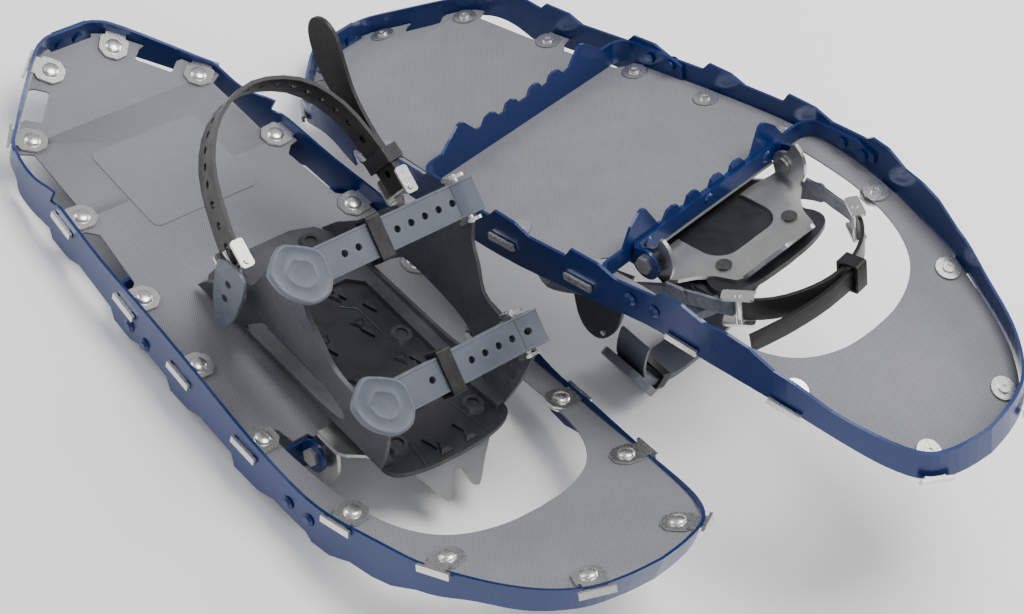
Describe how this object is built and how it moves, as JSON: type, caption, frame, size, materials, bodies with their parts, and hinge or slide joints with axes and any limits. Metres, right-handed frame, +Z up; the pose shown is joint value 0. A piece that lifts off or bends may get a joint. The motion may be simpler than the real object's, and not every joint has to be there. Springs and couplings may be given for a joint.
{
  "type": "snowshoes",
  "caption": "Pair of aluminium-frame snowshoes with steel crampons and strap bindings; one stands on its teeth, the other leans beside it upside down.",
  "frame": {"origin": "on the ground, under the middle of the pair", "axes": "+X from the tails towards the toes, +Y from the upright right shoe towards the upturned left shoe, +Z up"},
  "size_m": [0.6203, 0.4028, 0.1914],
  "materials": {
    "frame_blue": "satin anodised",
    "steel": "brushed",
    "nickel": "bright",
    "deck_fabric": "woven, coated",
    "patch": "smooth",
    "plate_black": "moulded",
    "button_black": "moulded",
    "cradle_slate": "moulded, matte",
    "strap_grey": "moulded, matte",
    "keeper_black": "matte",
    "heel_black": "matte"
  },
  "bodies": {
    "right_shoe": {"right_frame_rail": "frame_blue", "right_tail_rivets": "frame_blue", "right_rear_crossbar": "frame_blue", "right_front_crossbar": "frame_blue", "right_crossbar_rivets": "frame_blue", "right_pivot_bracket": "frame_blue", "right_bracket_rivets": "frame_blue", "right_pivot_pins": "steel", "right_deck": "deck_fabric", "right_label_patch": "patch", "right_deck_clips": "nickel", "right_clip_rivets": "nickel", "right_clip_washers": "nickel"},
    "right_binding": {"right_crampon": "steel", "right_foot_plate": "plate_black", "right_plate_rivets": "button_black", "right_heel_anchors": "steel", "right_binding_cradle": "cradle_slate", "right_toe_strap": "strap_grey", "right_toe_buckle": "nickel", "right_instep_strap": "strap_grey", "right_instep_buckle": "nickel", "right_strap_rivets": "nickel"},
    "right_heel": {"right_heel_strap": "heel_black", "right_heel_keeper": "keeper_black", "right_outer_heel_buckle": "nickel", "right_inner_heel_buckle": "nickel", "right_heel_tail": "strap_grey"},
    "right_toe_loop": {"right_toe_keeper": "keeper_black"},
    "left_shoe": {"left_frame_rail": "frame_blue", "left_tail_rivets": "frame_blue", "left_rear_crossbar": "frame_blue", "left_front_crossbar": "frame_blue", "left_crossbar_rivets": "frame_blue", "left_pivot_bracket": "frame_blue", "left_bracket_rivets": "frame_blue", "left_pivot_pins": "steel", "left_deck": "deck_fabric", "left_label_patch": "patch", "left_deck_clips": "nickel", "left_clip_rivets": "nickel", "left_clip_washers": "nickel"},
    "left_binding": {"left_crampon": "steel", "left_foot_plate": "plate_black", "left_plate_rivets": "button_black", "left_heel_anchors": "steel", "left_binding_cradle": "cradle_slate", "left_toe_strap": "strap_grey", "left_toe_buckle": "nickel", "left_instep_strap": "strap_grey", "left_instep_buckle": "nickel", "left_strap_rivets": "nickel", "left_instep_keeper": "keeper_black"},
    "left_heel": {"left_heel_strap": "heel_black", "left_heel_keeper": "keeper_black", "left_outer_heel_buckle": "nickel", "left_inner_heel_buckle": "nickel", "left_heel_tail": "strap_grey"},
    "left_toe_loop": {"left_toe_keeper": "keeper_black"},
    "right_instep_loop": {"right_instep_keeper": "keeper_black"}
  },
  "joints": [
    {"name": "right_binding_hinge", "type": "hinge", "parent": "right_shoe", "child": "right_binding", "pos_m": [0.0463, -0.0973, 0.0285], "axis": [0, 1, 0], "range_deg": [0, 38]},
    {"name": "right_heel_swing", "type": "hinge", "parent": "right_binding", "child": "right_heel", "pos_m": [-0.0462, -0.0973, 0.081], "axis": [0, 1, 0], "range_deg": [-30, 10]},
    {"name": "right_toe_keeper_slide", "type": "slide", "parent": "right_binding", "child": "right_toe_loop", "axis": [0, 1, 0], "range_m": [-0.012, 0.045]},
    {"name": "right_instep_keeper_slide", "type": "slide", "parent": "right_binding", "child": "right_instep_loop", "axis": [0, 1, 0], "range_m": [-0.02, 0.05]},
    {"name": "left_shoe_lift", "type": "slide", "parent": "right_shoe", "child": "left_shoe", "axis": [0, 0, 1], "range_m": [0, 0.25]},
    {"name": "left_binding_hinge", "type": "hinge", "parent": "left_shoe", "child": "left_binding", "pos_m": [0.08747, 0.09803, 0.14677], "axis": [0.0761, -0.9885, -0.1304], "range_deg": [0, 38]},
    {"name": "left_heel_swing", "type": "hinge", "parent": "left_binding", "child": "left_heel", "pos_m": [0.01872, 0.10342, 0.0658], "axis": [0.0761, -0.9885, -0.1304], "range_deg": [-25, 0]},
    {"name": "left_toe_keeper_slide", "type": "slide", "parent": "left_binding", "child": "left_toe_loop", "axis": [-0.0761, 0.9885, 0.1304], "range_m": [-0.01, 0.02]}
  ]
}
